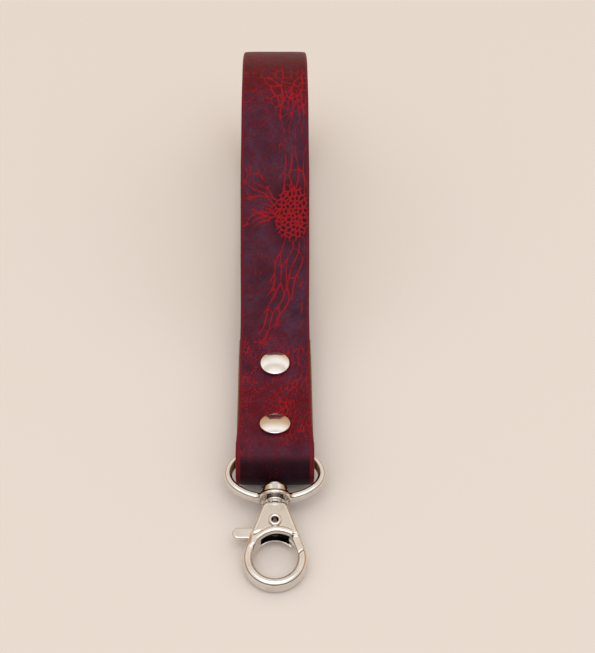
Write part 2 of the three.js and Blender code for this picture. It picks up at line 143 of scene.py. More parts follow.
def newMaterial(name, values):
    material = bpy.data.materials.new(name)
    material.use_nodes = True
    shader = material.node_tree.nodes["Principled BSDF"]
    setSockets(shader, values)
    return material, material.node_tree, shader


def metalSurfaceGroup():
    # handled metal: fine random scratches, a soft waviness from polishing and patches of dulled shine
    group = bpy.data.node_groups.new("handledMetal", "ShaderNodeTree")
    face = group.interface
    face.new_socket("Place", in_out="INPUT", socket_type="NodeSocketVector")
    for name, value in (("Smooth", 0.12), ("Dull", 0.3), ("Waviness", 0.3), ("Scratches", 0.5)):
        face.new_socket(name, in_out="INPUT", socket_type="NodeSocketFloat").default_value = value
    face.new_socket("Roughness", in_out="OUTPUT", socket_type="NodeSocketFloat")
    face.new_socket("Height", in_out="OUTPUT", socket_type="NodeSocketFloat")
    face.new_socket("Tarnish", in_out="OUTPUT", socket_type="NodeSocketFloat")
    inside = group.nodes.new("NodeGroupInput")
    out = group.nodes.new("NodeGroupOutput")
    place = inside.outputs["Place"]
    patches = noise(group, place, 260, 4, 0.6)
    waves = noise(group, place, 420, 2, 0.5)
    grain = noise(group, place, 2600, 2, 0.6)
    scratchOne = fade(group, noise(group, stretched(group, place, (9000, 500, 900)), 1, 1, 0.4), 0.62, 0.72)
    scratchTwo = fade(group, noise(group, stretched(group, place, (600, 8000, 900)), 1, 1, 0.4), 0.64, 0.74)
    scratches = maths(group, "MAXIMUM", scratchOne, scratchTwo)
    scratches = maths(group, "MULTIPLY", scratches, inside.outputs["Scratches"])
    spread = maths(group, "SUBTRACT", inside.outputs["Dull"], inside.outputs["Smooth"])
    patchy = fade(group, patches, 0.35, 0.72)
    rough = maths(group, "MULTIPLY_ADD", spread, patchy, inside.outputs["Smooth"])
    rough = maths(group, "MULTIPLY_ADD", scratches, 0.12, rough)
    rough = maths(group, "MULTIPLY_ADD", grain, 0.04, rough)
    height = maths(group, "MULTIPLY", waves, inside.outputs["Waviness"])
    height = maths(group, "MULTIPLY_ADD", grain, 0.02, height)
    height = maths(group, "MULTIPLY_ADD", scratches, -0.05, height)
    group.links.new(rough, out.inputs["Roughness"])
    group.links.new(height, out.inputs["Height"])
    group.links.new(fade(group, noise(group, place, 170, 5, 0.65), 0.45, 0.75), out.inputs["Tarnish"])
    return group


handledMetal = metalSurfaceGroup()


# the near-black colour of the painted shade inside the clasp's slot
paintedSlotShadeColour = (0.06, 0.04, 0.035)


def metalMaterial(name, look):
    material, tree, shader = newMaterial(name, {"Metallic": 1.0, "Specular IOR Level": 0.5})
    place = addNode(tree, "ShaderNodeTexCoord").outputs["Object"]
    surface = addNode(tree, "ShaderNodeGroup", node_tree=handledMetal)
    setSockets(surface, {name: look[name.lower()] for name in ("Smooth", "Dull", "Waviness", "Scratches")})
    tree.links.new(place, surface.inputs["Place"])
    colour = blendColour(tree, surface.outputs["Tarnish"], look["colour"], look["tarnish"])
    # painted shade: the inner faces of the clasp's slot are darkened towards near black
    paintedSlotShade = addNode(tree, "ShaderNodeAttribute", attribute_name="paintedSlotShade").outputs["Fac"]
    colour = blendColour(tree, maths(tree, "MULTIPLY", paintedSlotShade, 0.93), colour, paintedSlotShadeColour)
    bump = addNode(tree, "ShaderNodeBump", {"Strength": look["relief"], "Distance": 0.0001})
    tree.links.new(surface.outputs["Height"], bump.inputs["Height"])
    tree.links.new(colour, shader.inputs["Base Color"])
    tree.links.new(surface.outputs["Roughness"], shader.inputs["Roughness"])
    tree.links.new(bump.outputs["Normal"], shader.inputs["Normal"])
    return material


metals = {
    "castNickel": {"colour": (0.78, 0.74, 0.70), "tarnish": (0.66, 0.61, 0.56), "smooth": 0.065, "dull": 0.14,
                   "waviness": 0.4, "scratches": 0.5, "relief": 0.2},
    "capNickel": {"colour": (0.86, 0.84, 0.81), "tarnish": (0.78, 0.75, 0.71), "smooth": 0.06, "dull": 0.12,
                  "waviness": 0.4, "scratches": 0.5, "relief": 0.2},
    "innerSteel": {"colour": (0.62, 0.60, 0.57), "tarnish": (0.48, 0.45, 0.41), "smooth": 0.26, "dull": 0.42,
                   "waviness": 0.3, "scratches": 0.8, "relief": 0.3},
    "springSteel": {"colour": (0.50, 0.50, 0.50), "tarnish": (0.36, 0.35, 0.34), "smooth": 0.2, "dull": 0.36,
                    "waviness": 0.2, "scratches": 0.4, "relief": 0.2},
}
metalLooks = {name: metalMaterial(name, look) for name, look in metals.items()}
for nodeName, cadNode in frame["nodes"].items():
    chosen = "springSteel" if nodeName == "lever_spring" else "innerSteel"
    for materialSlot in cadNode.material_slots:
        materialSlot.material = metalLooks[chosen]
print("metal finishes made")


# meshes
def makePiece(name, points, faces, material, body, slotName, *nodes):
    mesh = bpy.data.meshes.new(name)
    mesh.from_pydata(points.tolist(), [], faces)
    mesh.polygons.foreach_set("use_smooth", np.ones(len(mesh.polygons), bool))
    mesh.materials.append(material)
    mesh.update()
    piece = bpy.data.objects.new(name, mesh)
    bpy.context.scene.collection.objects.link(piece)
    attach(piece, body)
    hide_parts(*nodes)
    print(name, len(mesh.vertices), "points")
    return piece


def gridFaces(rows, columns):
    # quads of a grid whose columns close on themselves
    row, column = np.meshgrid(np.arange(rows - 1), np.arange(columns), indexing="ij")
    nextColumn = (column + 1) % columns
    corners = [row * columns + column, row * columns + nextColumn,
               (row + 1) * columns + nextColumn, (row + 1) * columns + column]
    return np.stack(corners, -1).reshape(-1, 4)


def turned(profile, sides=96):
    # a profile of (radius, height) turned about +Z; its two ends lie on the axis, each closed with one point
    radius, height = np.array(profile, float).T
    angle = np.linspace(0, 2 * np.pi, sides, endpoint=False)
    ring = np.stack([np.cos(angle), np.sin(angle)], -1)
    inner = slice(1, -1)
    shell = np.concatenate([radius[inner, None, None] * ring[None], np.broadcast_to(
        height[inner, None, None], (len(radius) - 2, sides, 1))], -1).reshape(-1, 3)
    points = np.concatenate([shell, [[0, 0, height[0]], [0, 0, height[-1]]]])
    faces = gridFaces(len(radius) - 2, sides).tolist()
    first, last, count = len(shell), len(shell) + 1, len(shell)
    here = np.arange(sides)
    there = (here + 1) % sides
    faces += np.stack([there, here, np.full(sides, first)], -1).tolist()
    faces += np.stack([count - sides + here, count - sides + there, np.full(sides, last)], -1).tolist()
    return points, faces


def turnedTube(profile, sides=96):
    # a closed profile of (radius, height) turned about +Z
    radius, height = np.array(profile, float).T
    angle = np.linspace(0, 2 * np.pi, sides, endpoint=False)
    points = np.stack([radius[:, None] * np.cos(angle), radius[:, None] * np.sin(angle),
                       np.broadcast_to(height[:, None], (len(radius), sides))], -1).reshape(-1, 3)
    faces = gridFaces(len(radius), sides)
    last = (len(radius) - 1) * sides
    here = np.arange(sides)
    there = (here + 1) % sides
    closing = np.stack([last + here, last + there, there, here], -1)
    return points, np.concatenate([faces, closing])[:, ::-1].tolist()


def tilted(points, angle, place):
    # turns about +X by the angle, then moves to the place
    x, y, z = points.T
    cosine, sine = math.cos(angle), math.sin(angle)
    return np.stack([x, y * cosine - z * sine, y * sine + z * cosine], -1) + np.asarray(place, float)


# leather strap
strap = {
    "halfWidth": 9.5 * mm, "foldFlare": 0.42 * mm, "lowerFlare": 0.5 * mm, "thickness": 3.22 * mm,
    "grainCorner": 0.75 * mm, "fleshCorner": 0.35 * mm, "edgeDrop": 0.1 * mm, "foldBulge": 0.45 * mm,
    "capSink": 0.2 * mm, "capSpread": 1.1 * mm,
    # the mesh is finer along the stretch that carries the veins
    "step": 0.8 * mm, "fineStep": 0.34 * mm, "fineFrom": 44 * mm, "fineTo": 190 * mm,
    # length in mm and turn in degrees of each run, from the bottom layer's end to the middle layer's
    "runs": [
        (38.1986, 0), (0.6981, 5), (1.3, 0), (15.8928, -194), (15, 0), (2.8274, 9), (5.0518, 0), (1.7453, 4),
        (14, 0), (12.5664, 40), (29.6, 0), (44.2965, -54), (26.3196, -26), (51.3189, -144), (61.5768, 0),
        (10.7671, -25.7047), (10.7671, 25.7047), (30.2944, 0), (1.2566, -4), (7.1675, 0),
    ],
    "start": (40.6, 2.95),
}
rivets = {
    "capRadius": 3.95 * mm, "capHeight": 1.2 * mm, "wall": 0.35 * mm, "seat": 0.2 * mm,
    "stackBase": 1.45 * mm,
    "lower": {"fromFold": 6.6 * mm, "front": 12.7078 * mm, "tilt": math.radians(-9)},
    "upper": {"fromFold": 29.7 * mm, "front": 11.4320 * mm, "tilt": math.radians(4)},
}


def strapLine():
    # the heading runs straight between the ends of the runs, and the place is the running sum of its
    # cosine and sine
    lengths, turns = np.array(strap["runs"]).T
    ends = np.concatenate([[0], np.cumsum(lengths)]) * mm
    headings = math.pi + np.concatenate([[0], np.cumsum(np.radians(turns))])
    count = int(round(ends[-1] / (0.05 * mm))) + 1
    along = np.linspace(0, ends[-1], count)
    heading = np.interp(along, ends, headings)
    middle = (heading[1:] + heading[:-1]) / 2
    step = along[1] - along[0]
    y = foldPlace[1] + strap["start"][0] * mm + np.concatenate([[0], np.cumsum(np.cos(middle)) * step])
    z = strap["start"][1] * mm + np.concatenate([[0], np.cumsum(np.sin(middle)) * step])
    return along, y, z, heading


def strapSection():
    # once round the section: how far across as a share of the flat half width, how much further out,
    # and the depth
    half = strap["thickness"] / 2
    big, small = strap["grainCorner"], strap["fleshCorner"]
    face = np.linspace(-1, 1, 75)
    big90 = np.radians(np.linspace(90, 0, 8)[1:])
    small90 = np.radians(np.linspace(0, -90, 5))
    parts = [np.stack([face, 0 * face, half - strap["edgeDrop"] * np.abs(face) ** 6], -1)]
    cornerX, cornerZ = big * np.cos(big90), half - strap["edgeDrop"] - big + big * np.sin(big90)
    lowX, lowZ = big - small + small * np.cos(small90), -half + small + small * np.sin(small90)
    right = np.concatenate([np.stack([np.ones(7), cornerX, cornerZ], -1),
                            np.stack([np.ones(5), lowX, lowZ], -1)])
    parts.append(right)
    under = np.linspace(1, -1, 17)[1:-1]
    parts.append(np.stack([under, (big - small) * under, 0 * under - half], -1))
    parts.append((right * [-1, -1, 1])[::-1])
    return np.concatenate(parts)


def strapPiece(material):
    along, y, z, heading = strapLine()
    station = np.concatenate([
        np.arange(0, strap["fineFrom"], strap["step"]),
        np.arange(strap["fineFrom"], strap["fineTo"], strap["fineStep"]),
        np.linspace(strap["fineTo"], along[-1], int((along[-1] - strap["fineTo"]) / strap["step"])),
    ])
    count = len(station)
    lineY, lineZ, turn = (np.interp(station, along, values) for values in (y, z, heading))
    fromFold = lineY - foldPlace[1]
    bend = smoothRise(12 * mm - fromFold, 0, 15 * mm)
    foldStart, foldEnd = (sum(length for length, _ in strap["runs"][:k]) * mm for k in (3, 4))
    lower = np.where(station < foldEnd, 1.0, np.where(station > along[-1] - 40 * mm, 0.7, 0.0))
    halfWidth = strap["halfWidth"] + strap["foldFlare"] * bend * (station < 90 * mm)
    halfWidth = halfWidth + strap["lowerFlare"] * lower * (1 - bend)
    handCut = 0.03 * np.sin(station / (9.3 * mm)) + 0.02 * np.sin(station / (3.7 * mm) + 1)
    halfWidth = halfWidth + handCut * mm
    share, outward, depth = strapSection().T
    across = share * (halfWidth[:, None] - strap["grainCorner"]) + outward
    deep = np.broadcast_to(depth, across.shape).copy()
    placeY = np.broadcast_to(lineY[:, None], across.shape)
    grainSide = smoothRise(depth, 0, 0.8 * mm)
    foldShare = np.clip((station - foldStart) / (foldEnd - foldStart), 0, 1)
    deep = deep + strap["foldBulge"] * (np.sin(np.pi * foldShare ** 0.8) ** 2)[:, None] * grainSide
    for rivet in (rivets["lower"], rivets["upper"]):
        away = np.hypot(across, placeY - foldPlace[1] - rivet["fromFold"])
        press = np.exp(-((np.maximum(away - rivets["capRadius"], 0) / strap["capSpread"]) ** 2))
        near = ((station < 90 * mm)[:, None]) * grainSide
        deep = deep - strap["capSink"] * press * near
    outX = across
    outY = lineY[:, None] - deep * np.sin(turn)[:, None]
    outZ = lineZ[:, None] + deep * np.cos(turn)[:, None]
    outZ = np.maximum(outZ, 0.0)
    points = np.stack([outX, outY, outZ], -1).reshape(-1, 3)
    columns = len(share)
    faces = gridFaces(count, columns).tolist()
    faces.append(list(range(columns))[::-1])
    faces.append(list(range((count - 1) * columns, count * columns)))
    piece = makePiece("wrist_strap", points, faces, material, "strap", "burgundy_leather", "leather_strap")
    flat = np.stack([across, np.broadcast_to(station[:, None], across.shape), deep], -1).reshape(-1, 3)
    paintStrap(piece, flat)
    return piece


def smoothRise(value, low, high):
    t = np.clip((value - low) / (high - low), 0, 1)
    return t * t * (3 - 2 * t)


def addAttribute(piece, name, kind, values):
    attribute = piece.data.attributes.new(name, kind, "POINT")
    field = "vector" if kind == "FLOAT_VECTOR" else "value"
    attribute.data.foreach_set(field, values.astype(np.float32).ravel())


# Veins of the leather, in mm across and along the strap. Each family is a net of cell borders on its own
# bent plane.
veinNets = {
    # half width of a vein and the seed of its cells
    "web": (0.24, 3), "streams": (0.16, 9), "fan": (0.16, 5), "crown": (0.15, 12), "folded": (0.09, 14),
    "loose": (0.10, 21),
}
webCentre = (4.3, 131.5)


def streamMiddle(along):
    # the streams leave the web and drift to the left on their way down
    return 4.6 - 6.6 * (np.maximum(124 - along, 0) / 26) ** 1.5


def webPlane(x, s):
    # cells grow with distance: a point lies outwards by the logarithm of its distance from the web's middle
    away = np.hypot(x - webCentre[0], s - webCentre[1]) + 1e-6
    reach = 14.5 * np.log1p(away / 16) / away
    return (x - webCentre[0]) * reach, (s - webCentre[1]) * reach


def streamsPlane(x, s):
    return (x - streamMiddle(s) + 0.5 * np.sin(s / 3.1 + x / 2)) / 1.7, s / 7.5


def fanPlane(x, s):
    away = np.hypot(x - webCentre[0], s - webCentre[1]) + 1e-6
    angle = np.arctan2(s - webCentre[1], webCentre[0] - x)
    return (angle + 0.06 * np.sin(away / 1.7)) * 5.6, away / 5.5


def crownPlane(x, s):
    left = smoothRise(-x, -2, 5)
    return x / (2.0 + 2.0 * left), 40 + (s - 172 + 0.8 * np.sin(x / 2.2)) / (3.3 - 0.5 * left)


def foldedPlane(x, s):
    return (x + 0.6 * np.sin(s / 2.3)) / 1.25, (s - 0.25 * x) / 2.6


def loosePlane(x, s):
    return x / 1.05, s / 1.3


def cellBorder(plane, x, s, seed):
    # one jittered point for each unit square of the plane; the distance in mm to the border with the nearest
    # other point is the plane's distance divided by how much the plane is squeezed across that border
    step = 0.01
    u, v = plane(x, s)
    ux, vx = ((b - a) / step for a, b in zip((u, v), plane(x + step, s)))
    us, vs = ((b - a) / step for a, b in zip((u, v), plane(x, s + step)))
    jitter = np.random.default_rng(seed).uniform(0.0, 1.0, (64, 64, 2))
    cornerU, cornerV = np.floor(u).astype(int), np.floor(v).astype(int)
    spots = []
    for shiftU in (-2, -1, 0, 1, 2):
        for shiftV in (-2, -1, 0, 1, 2):
            i, j = cornerU + shiftU, cornerV + shiftV
            offset = jitter[i % 64, j % 64]
            spots.append(np.stack([i + offset[:, 0] - u, j + offset[:, 1] - v], -1))
    spots = np.stack(spots, 1)
    square = (spots ** 2).sum(-1)
    nearest = square.argmin(1)
    rows = np.arange(len(u))
    own = spots[rows, nearest]
    run = spots - own[:, None]
    length = np.hypot(run[..., 0], run[..., 1])
    length[rows, nearest] = 1
    flat = (square - square[rows, nearest][:, None]) / (2 * length)
    normal = run / length[..., None]
    squeeze = np.hypot(normal[..., 0] * ux[:, None] + normal[..., 1] * vx[:, None],
                       normal[..., 0] * us[:, None] + normal[..., 1] * vs[:, None])
    border = flat / np.maximum(squeeze, 1e-3)
    border[rows, nearest] = 99
    return border.min(1)


def between(value, low, high, soft):
    return smoothRise(value, low - soft, low + soft) * smoothRise(-value, -high - soft, -high + soft)


def veinStrengths(x, s):
    core = 1 - smoothRise(np.hypot((x - 4.7) / 5.6, (s - webCentre[1]) / 8.6), 0.72, 1.3)
    middle = streamMiddle(s)
    spread = 4.4 - 2.0 * smoothRise(-s, -112, -96)
    below = between(x - middle, -spread, spread, 0.9) * between(s, 91, 126, 4)
    lone = between(x, 6.6, 8.2, 0.7) * between(s, 97, 122, 4)
    faint = 1 - 0.2 * between(s, 150, 160, 4)
    above = between(x, 0.6, 9.2, 1.0) * between(s, 136, 172, 3) * faint
    angle = np.degrees(np.arctan2(s - webCentre[1], webCentre[0] - x))
    lobes = np.exp(-((angle - 36) / 20) ** 2) + np.exp(-((angle + 10) / 15) ** 2) + 0.35
    fan = np.clip(lobes, 0, 1) * smoothRise(webCentre[0] - x, 2, 5) * between(s, 118, 147, 4)
    crown = between(s, 160, 182, 3) * (0.72 + 0.2 * smoothRise(x, -5, 1)) + 0.1
    folded = between(s, 52, 96, 6) * (0.6 + 0.4 * smoothRise(x, -5, 2))
    return {"web": core, "streams": np.maximum(np.maximum(below, lone), above), "fan": fan, "crown": crown,
            "folded": folded, "loose": 0.76 - 0.3 * smoothRise(x, 0, 5) + 0.16 * between(s, 60, 96, 6)}


def paintStrap(piece, flat):
    x, s = flat[:, 0] / mm, flat[:, 1] / mm
    planes = {"web": webPlane, "streams": streamsPlane, "fan": fanPlane, "crown": crownPlane,
              "folded": foldedPlane, "loose": loosePlane}
    strengths = veinStrengths(x, s)
    depth = np.full(x.shape, 9.0)
    for name, (halfWidth, seed) in veinNets.items():
        thinned = halfWidth - 0.55 * (1 - strengths[name])
        depth = np.minimum(depth, cellBorder(planes[name], x, s, seed) - thinned)
    crownRed = smoothRise(s, 160, 176)
    rivetRed = between(s, 56, 78, 7) * (0.75 + 0.25 * smoothRise(x, -7, 2))
    redness = np.clip(1.4 * crownRed + rivetRed + 0.45 * strengths["web"], 0, 1)
    # painted shade darkens the bend where it turns under, a painted highlight makes its crest pale, and a
    # painted sheen lightens the loop's middle
    paintedShadeAndHighlight = between(s, 37, 52.1, 1.1) - 0.75 * between(s, 53.2, 55.8, 0.9) - 0.45 * between(s, 150, 164, 9)
    addAttribute(piece, "flatPlace", "FLOAT_VECTOR", flat)
    addAttribute(piece, "veinDepth", "FLOAT", depth)
    # the second share of leatherLook carries the painted shade, highlight and sheen of the fold and loop
    addAttribute(piece, "leatherLook", "FLOAT_VECTOR", np.stack([redness, paintedShadeAndHighlight, strengths["web"]], -1))


leatherColours = {
    "dark": (0.042, 0.011, 0.028), "light": (0.084, 0.029, 0.060), "vein": (0.33, 0.007, 0.014),
    "wine": (0.115, 0.004, 0.008), "rim": (0.17, 0.008, 0.016), "edgeDark": (0.040, 0.004, 0.006),
    "hole": (0.020, 0.003, 0.007),
    "core": (0.22, 0.15, 0.075), "flesh": (0.30, 0.19, 0.10), "tick": (0.035, 0.025, 0.015),
}
leatherEdge = {
    "rimFrom": 8.55 * mm, "rimTo": 8.95 * mm, "rimAmount": 0.7,
    # heights above the strap's middle plane where the skin darkens and the raw leather shows
    "skinFrom": 1.35 * mm, "skinTo": 0.75 * mm, "rawFrom": 0.75 * mm, "rawTo": 0.1 * mm,
    # short dark ticks on the raw sides only
    "tickSpacing": 4.1 * mm, "tickFade": 0.32 * mm, "tickCore": 0.1 * mm,
    "sideFrom": 9.25 * mm, "sideTo": 9.45 * mm, "tickAmount": 0.55,
}


def darken(tree, colour, share):
    # a colour times a grey of that strength
    grey = blendColour(tree, share, (0.0, 0.0, 0.0), (1.0, 1.0, 1.0))
    return blendColour(tree, 1.0, colour, grey, "MULTIPLY")


def leatherMaterial():
    colours = leatherColours
    material, tree, shader = newMaterial("burgundyLeather", {"Specular IOR Level": 0.08})
    flat = addNode(tree, "ShaderNodeAttribute", attribute_name="flatPlace").outputs["Vector"]
    look = addNode(tree, "ShaderNodeAttribute", attribute_name="leatherLook").outputs["Vector"]
    veinDepth = addNode(tree, "ShaderNodeAttribute", attribute_name="veinDepth").outputs["Fac"]
    parts = addNode(tree, "ShaderNodeSeparateXYZ")
    tree.links.new(look, parts.inputs[0])
    redness, paintedShadeAndHighlight, inWeb = parts.outputs
    places = addNode(tree, "ShaderNodeSeparateXYZ")
    tree.links.new(flat, places.inputs[0])
    across, along, depth = places.outputs

    # ragged vein outlines, then lines that break up where a slow noise is low
    ragged = maths(tree, "MULTIPLY_ADD", noise(tree, flat, 1500, 3, 0.65), 0.34, -0.17)
    slow = maths(tree, "MULTIPLY_ADD", noise(tree, flat, 240, 3, 0.6), -0.5, 0.25)
    slow = maths(tree, "MULTIPLY", slow, maths(tree, "SUBTRACT", 1.0, inWeb))
    veinPlace = maths(tree, "ADD", maths(tree, "ADD", veinDepth, ragged), slow)
    redVeins = fade(tree, veinPlace, 0.09, -0.07)
    halo = fade(tree, veinPlace, 0.5, 0.0)

    cloud = fade(tree, noise(tree, flat, 170, 5, 0.65), 0.3, 0.72)
    mottle = noise(tree, flat, 1700, 4, 0.7)
    speck = noise(tree, flat, 900, 4, 0.75)
    base = blendColour(tree, cloud, colours["dark"], colours["light"])
    base = blendColour(tree, maths(tree, "MULTIPLY", halo, 0.35), base, colours["wine"])
    base = blendColour(tree, fade(tree, speck, 0.5, 0.64, 0.0, 0.85), base, colours["wine"])
    redAmount = maths(tree, "MULTIPLY", redness, fade(tree, noise(tree, flat, 520, 5, 0.7), 0.3, 0.62))
    base = blendColour(tree, redAmount, base, colours["wine"])
    base = blendColour(tree, maths(tree, "MULTIPLY", inWeb, 0.75), base, colours["hole"])
    grain = blendColour(tree, maths(tree, "MULTIPLY", redVeins, 0.95), base, colours["vein"])
    pores = fade(tree, cells(tree, flat, 2300, "F1"), 0.1, 0.55, 0.62, 1.2)
    grain = darken(tree, grain, pores)
    # the painted shade, highlight and sheen of the fold and loop scale the leather's colour
    paintedLightShare = maths(tree, "MULTIPLY_ADD", paintedShadeAndHighlight, -0.72, 1.0)
    grain = darken(tree, grain, paintedLightShare)
    # burnished rim, then the raw edge under it
    edge = leatherEdge
    outer = maths(tree, "ABSOLUTE", across)
    rim = fade(tree, outer, edge["rimFrom"], edge["rimTo"])
    grain = blendColour(tree, maths(tree, "MULTIPLY", rim, edge["rimAmount"]), grain, colours["rim"])
    side = fade(tree, depth, edge["skinFrom"], edge["skinTo"])
    skin = blendColour(tree, side, grain, colours["edgeDark"])
    fibres = noise(tree, stretched(tree, flat, (900, 900, 5200)), 1, 4, 0.7)
    core = blendColour(tree, fade(tree, fibres, 0.35, 0.7), colours["core"], colours["flesh"])
    ticks = maths(tree, "PINGPONG", along, edge["tickSpacing"] / 2)
    ticks = fade(tree, ticks, edge["tickFade"], edge["tickCore"])
    ticks = maths(tree, "MULTIPLY", ticks, fade(tree, fibres, 0.3, 0.6))
    onSide = fade(tree, outer, edge["sideFrom"], edge["sideTo"], 0.0, edge["tickAmount"])
    core = blendColour(tree, maths(tree, "MULTIPLY", ticks, onSide), core, colours["tick"])
    raw = maths(tree, "MULTIPLY_ADD", fibres, 0.8 * mm, depth)
    raw = fade(tree, raw, edge["rawFrom"], edge["rawTo"])
    colour = blendColour(tree, raw, skin, core)
    tree.links.new(colour, shader.inputs["Base Color"])

    roughGrain = maths(tree, "MULTIPLY_ADD", mottle, 0.22, 0.33)
    roughGrain = maths(tree, "MULTIPLY_ADD", redVeins, 0.06, roughGrain)
    roughness = maths(tree, "MULTIPLY_ADD", raw, 0.4, roughGrain, clamp=True)
    tree.links.new(roughness, shader.inputs["Roughness"])
    fine = cells(tree, stretched(tree, flat, (1900, 1700, 1700)), 1.0)
    fineLines = fade(tree, fine, 0.0, 0.22)
    height = maths(tree, "MULTIPLY", fineLines, 0.35)
    height = maths(tree, "MULTIPLY_ADD", redVeins, -0.55, height)
    height = maths(tree, "MULTIPLY_ADD", noise(tree, flat, 900, 4, 0.6), 0.9, height)
    height = maths(tree, "MULTIPLY_ADD", maths(tree, "MULTIPLY", fibres, raw), 1.4, height)
    bump = addNode(tree, "ShaderNodeBump", {"Strength": 0.55, "Distance": 0.00012})
    tree.links.new(height, bump.inputs["Height"])
    tree.links.new(bump.outputs["Normal"], shader.inputs["Normal"])
    return material


strapPiece(leatherMaterial())


# rivet caps
def arc(centre, radius, start, end, count):
    # points of a circle's arc as (radius, height) pairs, angles in degrees
    angle = np.radians(np.linspace(start, end, count))
    return np.stack([centre[0] + radius * np.cos(angle), centre[1] + radius * np.sin(angle)], -1)


def capProfile():
    # a low dome that rolls over at its rim and turns in under the edge
    radius, height, wall = rivets["capRadius"], rivets["capHeight"], rivets["wall"]
    roll = 0.36 * mm
    rise = height - 2 * roll + 0.1 * mm
    across = np.linspace(0, radius - roll * 0.55, 24)
    dome = np.stack([across, height - rise * (across / radius) ** 2.3], -1)
    joinHeight = dome[-1, 1]
    rim = arc((radius - roll, joinHeight - roll * 0.86), roll, 55, -80, 14)
    under = [[radius - roll - wall * 0.4, -0.14 * mm], [radius - roll - wall, 0.02 * mm]]
    insideAcross = np.linspace(radius - roll - wall, 0, 10)
    inside = np.stack([insideAcross, height - wall - rise * (insideAcross / radius) ** 2.3], -1)
    return np.concatenate([inside[::-1], under[::-1], rim[::-1], dome[::-1]])


capPoints, capFaces = turned(capProfile())
for rivetName in ("lower", "upper"):
    rivet = rivets[rivetName]
    y = foldPlace[1] + rivet["fromFold"]
    tilt = rivet["tilt"]
    front = tilted(capPoints + [0, 0, rivets["seat"]], tilt, (0, y, rivet["front"]))
    makePiece(f"{rivetName}_cap_front", front, capFaces, metalLooks["capNickel"], "strap", "cap_nickel",
              f"{rivetName}_rivet_front_cap")
    back = tilted(capPoints, math.pi, (0, y, rivets["stackBase"] - rivets["seat"]))
    makePiece(f"{rivetName}_cap_back", back, capFaces, metalLooks["capNickel"], "strap", "cap_nickel",
              f"{rivetName}_rivet_back_cap")


# cast shapes
# Cast parts are worked out as the place where a signed distance is zero, in mm, from the ring's bar,
# with -Y towards the hook. Shapes join with rounded fillets, as they do where metal has run into a die.
def roundedJoin(a, b, size):
    mixing = np.clip(0.5 + 0.5 * (b - a) / size, 0, 1)
    return b + (a - b) * mixing - size * mixing * (1 - mixing)


def roundedCut(a, b, size):
    return -roundedJoin(-a, b, size)


def thick(flatDistance, z, halfThickness, rounding):
    # a flat outline given a thickness, with its edges rounded over
    side, face = flatDistance + rounding, np.abs(z) - halfThickness + rounding
    beyond = np.hypot(np.maximum(side, 0), np.maximum(face, 0))
    return np.minimum(np.maximum(side, face), 0) + beyond - rounding


def boxDistance(x, y, low, high, rounding=0.0):
    sideX = np.abs(x - (low[0] + high[0]) / 2) - (high[0] - low[0]) / 2 + rounding
    sideY = np.abs(y - (low[1] + high[1]) / 2) - (high[1] - low[1]) / 2 + rounding
    outside = np.hypot(np.maximum(sideX, 0), np.maximum(sideY, 0))
    return outside + np.minimum(np.maximum(sideX, sideY), 0) - rounding


def barDistance(x, y, start, end, halfWidth):
    # distance to a straight bar with round ends
    run = np.subtract(end, start)
    share = np.clip(((x - start[0]) * run[0] + (y - start[1]) * run[1]) / (run @ run), 0, 1)
    return np.hypot(x - start[0] - share * run[0], y - start[1] - share * run[1]) - halfWidth


def castSurface(distance, low, high, cell):
    # every grid cell that the surface passes through gets one point, the mean of the places where it cuts the
    # cell's edges; cut edges get a quad between their four cells; then the points slide onto the surface
    axes = [np.arange(start, end + cell, cell) for start, end in zip(low, high)]
    grid = np.stack(np.meshgrid(*axes, indexing="ij"), -1)
    shape = grid.shape[:3]
    value = distance(grid.reshape(-1, 3)).reshape(shape)
    inside = value < 0
    cellShape = tuple(size - 1 for size in shape)
    total, hits = np.zeros(cellShape + (3,)), np.zeros(cellShape)
    quads = []
    for axis in range(3):
        first = [slice(None)] * 3
        second = [slice(None)] * 3
        first[axis], second[axis] = slice(0, -1), slice(1, None)
        a, b = value[tuple(first)], value[tuple(second)]
        cut = inside[tuple(first)] != inside[tuple(second)]
        share = np.where(cut, a / np.where(cut, a - b, 1), 0)
        spot = grid[tuple(first)].copy()
        spot[..., axis] += share * cell
        others = [k for k in range(3) if k != axis]
        for stepOne in (0, 1):
            for stepTwo in (0, 1):
                window = [slice(None)] * 3
                for other, step in zip(others, (stepOne, stepTwo)):
                    window[other] = slice(step, shape[other] - 1 + step)
                mask = cut[tuple(window)]
                total += spot[tuple(window)] * mask[..., None]
                hits += mask
        place = np.argwhere(cut)
        place = place[(place[:, others] > 0).all(1) & (place[:, others] < np.array(shape)[others] - 1).all(1)]
        back = np.zeros((4, 3), int)
        back[1, others[0]] = back[2, others[0]] = back[2, others[1]] = back[3, others[1]] = -1
        around = place[:, None, :] + back[None]
        flip = inside[tuple(place.T)] ^ (axis == 1)
        around = np.where(flip[:, None, None], around[:, ::-1], around)
        quads.append(np.ravel_multi_index(around.reshape(-1, 3).T, cellShape).reshape(-1, 4))
    used = hits > 0
    number = np.full(cellShape, -1)
    number[used] = np.arange(used.sum())
    points = total[used] / hits[used][:, None]
    faces = number.ravel()[np.concatenate(quads)]
    nudge = np.eye(3) * cell * 0.1
    for _ in range(4):
        slope = np.stack([distance(points + nudge[k]) - distance(points - nudge[k]) for k in range(3)], -1)
        slope /= 0.2 * cell
        steepness = np.maximum((slope ** 2).sum(1), 0.2)
        move = (distance(points) / steepness)[:, None] * slope
        points = points - np.clip(move, -0.5 * cell, 0.5 * cell)
    return points, faces[:, ::-1]


